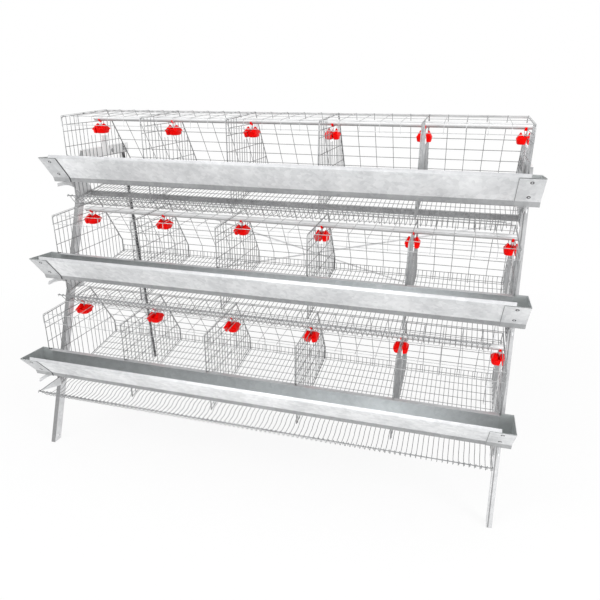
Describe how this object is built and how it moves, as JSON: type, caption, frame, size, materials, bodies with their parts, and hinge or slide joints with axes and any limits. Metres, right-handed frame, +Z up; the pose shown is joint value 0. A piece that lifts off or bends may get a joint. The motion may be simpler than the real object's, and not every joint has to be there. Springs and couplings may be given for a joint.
{
  "type": "layer chicken cage",
  "caption": "Stepped wire cage for laying hens on a leaning steel frame, with sloping egg-roll floors, sheet feed troughs and a nipple drinking line on every tier.",
  "frame": {"origin": "centre of the cage's footprint, on the ground", "axes": "+X along the cage to its right end, seen from the front; +Y from the front to the back; +Z up"},
  "size_m": [2.048, 1.056, 1.471],
  "materials": {
    "galvanised_wire": "hot-dip galvanised, dull",
    "galvanised_sheet": "galvanised sheet, faint spangle",
    "galvanised_frame": "galvanised, satin",
    "dark_steel": "dark weathered zinc",
    "zinc_bolts": "zinc plated",
    "pipe_plastic": "satin light grey",
    "red_plastic": "moulded red",
    "stainless": "turned"
  },
  "bodies": {
    "cage": {"back_leg_left": "dark_steel", "back_leg_right": "dark_steel", "back_mesh_lower": "galvanised_wire", "back_mesh_middle": "galvanised_wire", "back_mesh_upper": "galvanised_wire", "cross_brace_falling": "dark_steel", "cross_brace_rising": "dark_steel", "drip_cups": "red_plastic", "floor_mesh_lower": "galvanised_wire", "floor_mesh_middle": "galvanised_wire", "floor_mesh_upper": "galvanised_wire", "frame_bolts": "zinc_bolts", "front_leg_left": "galvanised_frame", "front_leg_right": "galvanised_frame", "nipple_bodies": "stainless", "nipple_saddles": "red_plastic", "partitions_lower": "galvanised_wire", "partitions_middle": "galvanised_wire", "partitions_upper": "galvanised_wire", "pipe_plugs": "pipe_plastic", "roof_mesh_lower": "galvanised_wire", "roof_mesh_middle": "galvanised_wire", "roof_mesh_upper": "galvanised_wire", "spreader_rail": "dark_steel", "tier_arm_lower_left": "galvanised_frame", "tier_arm_lower_right": "galvanised_frame", "tier_arm_middle_left": "galvanised_frame", "tier_arm_middle_right": "galvanised_frame", "tier_arm_upper_left": "galvanised_frame", "tier_arm_upper_right": "galvanised_frame", "top_arm_left": "galvanised_frame", "top_arm_right": "galvanised_frame", "tray_stops": "galvanised_sheet", "trough_caps_lower": "galvanised_sheet", "trough_caps_middle": "galvanised_sheet", "trough_caps_upper": "galvanised_sheet", "trough_lower": "galvanised_sheet", "trough_middle": "galvanised_sheet", "trough_upper": "galvanised_sheet", "water_pipe_lower": "pipe_plastic", "water_pipe_middle": "pipe_plastic", "water_pipe_upper": "pipe_plastic"},
    "pin_lower_1": {"nipple_pin_lower_1": "stainless"},
    "pin_lower_2": {"nipple_pin_lower_2": "stainless"},
    "pin_lower_3": {"nipple_pin_lower_3": "stainless"},
    "pin_lower_4": {"nipple_pin_lower_4": "stainless"},
    "pin_lower_5": {"nipple_pin_lower_5": "stainless"},
    "pin_lower_6": {"nipple_pin_lower_6": "stainless"},
    "pin_middle_1": {"nipple_pin_middle_1": "stainless"},
    "pin_middle_2": {"nipple_pin_middle_2": "stainless"},
    "pin_middle_3": {"nipple_pin_middle_3": "stainless"},
    "pin_middle_4": {"nipple_pin_middle_4": "stainless"},
    "pin_middle_5": {"nipple_pin_middle_5": "stainless"},
    "pin_middle_6": {"nipple_pin_middle_6": "stainless"},
    "pin_upper_1": {"nipple_pin_upper_1": "stainless"},
    "pin_upper_2": {"nipple_pin_upper_2": "stainless"},
    "pin_upper_3": {"nipple_pin_upper_3": "stainless"},
    "pin_upper_4": {"nipple_pin_upper_4": "stainless"},
    "pin_upper_5": {"nipple_pin_upper_5": "stainless"},
    "pin_upper_6": {"nipple_pin_upper_6": "stainless"}
  },
  "joints": [
    {"name": "pin_lower_1_lift", "type": "slide", "parent": "cage", "child": "pin_lower_1", "axis": [0, 0, 1], "range_m": [0, 0.0015]},
    {"name": "pin_lower_2_lift", "type": "slide", "parent": "cage", "child": "pin_lower_2", "axis": [0, 0, 1], "range_m": [0, 0.0015]},
    {"name": "pin_lower_3_lift", "type": "slide", "parent": "cage", "child": "pin_lower_3", "axis": [0, 0, 1], "range_m": [0, 0.0015]},
    {"name": "pin_lower_4_lift", "type": "slide", "parent": "cage", "child": "pin_lower_4", "axis": [0, 0, 1], "range_m": [0, 0.0015]},
    {"name": "pin_lower_5_lift", "type": "slide", "parent": "cage", "child": "pin_lower_5", "axis": [0, 0, 1], "range_m": [0, 0.0015]},
    {"name": "pin_lower_6_lift", "type": "slide", "parent": "cage", "child": "pin_lower_6", "axis": [0, 0, 1], "range_m": [0, 0.0015]},
    {"name": "pin_middle_1_lift", "type": "slide", "parent": "cage", "child": "pin_middle_1", "axis": [0, 0, 1], "range_m": [0, 0.0015]},
    {"name": "pin_middle_2_lift", "type": "slide", "parent": "cage", "child": "pin_middle_2", "axis": [0, 0, 1], "range_m": [0, 0.0015]},
    {"name": "pin_middle_3_lift", "type": "slide", "parent": "cage", "child": "pin_middle_3", "axis": [0, 0, 1], "range_m": [0, 0.0015]},
    {"name": "pin_middle_4_lift", "type": "slide", "parent": "cage", "child": "pin_middle_4", "axis": [0, 0, 1], "range_m": [0, 0.0015]},
    {"name": "pin_middle_5_lift", "type": "slide", "parent": "cage", "child": "pin_middle_5", "axis": [0, 0, 1], "range_m": [0, 0.0015]},
    {"name": "pin_middle_6_lift", "type": "slide", "parent": "cage", "child": "pin_middle_6", "axis": [0, 0, 1], "range_m": [0, 0.0015]},
    {"name": "pin_upper_1_lift", "type": "slide", "parent": "cage", "child": "pin_upper_1", "axis": [0, 0, 1], "range_m": [0, 0.0015]},
    {"name": "pin_upper_2_lift", "type": "slide", "parent": "cage", "child": "pin_upper_2", "axis": [0, 0, 1], "range_m": [0, 0.0015]},
    {"name": "pin_upper_3_lift", "type": "slide", "parent": "cage", "child": "pin_upper_3", "axis": [0, 0, 1], "range_m": [0, 0.0015]},
    {"name": "pin_upper_4_lift", "type": "slide", "parent": "cage", "child": "pin_upper_4", "axis": [0, 0, 1], "range_m": [0, 0.0015]},
    {"name": "pin_upper_5_lift", "type": "slide", "parent": "cage", "child": "pin_upper_5", "axis": [0, 0, 1], "range_m": [0, 0.0015]},
    {"name": "pin_upper_6_lift", "type": "slide", "parent": "cage", "child": "pin_upper_6", "axis": [0, 0, 1], "range_m": [0, 0.0015]}
  ]
}
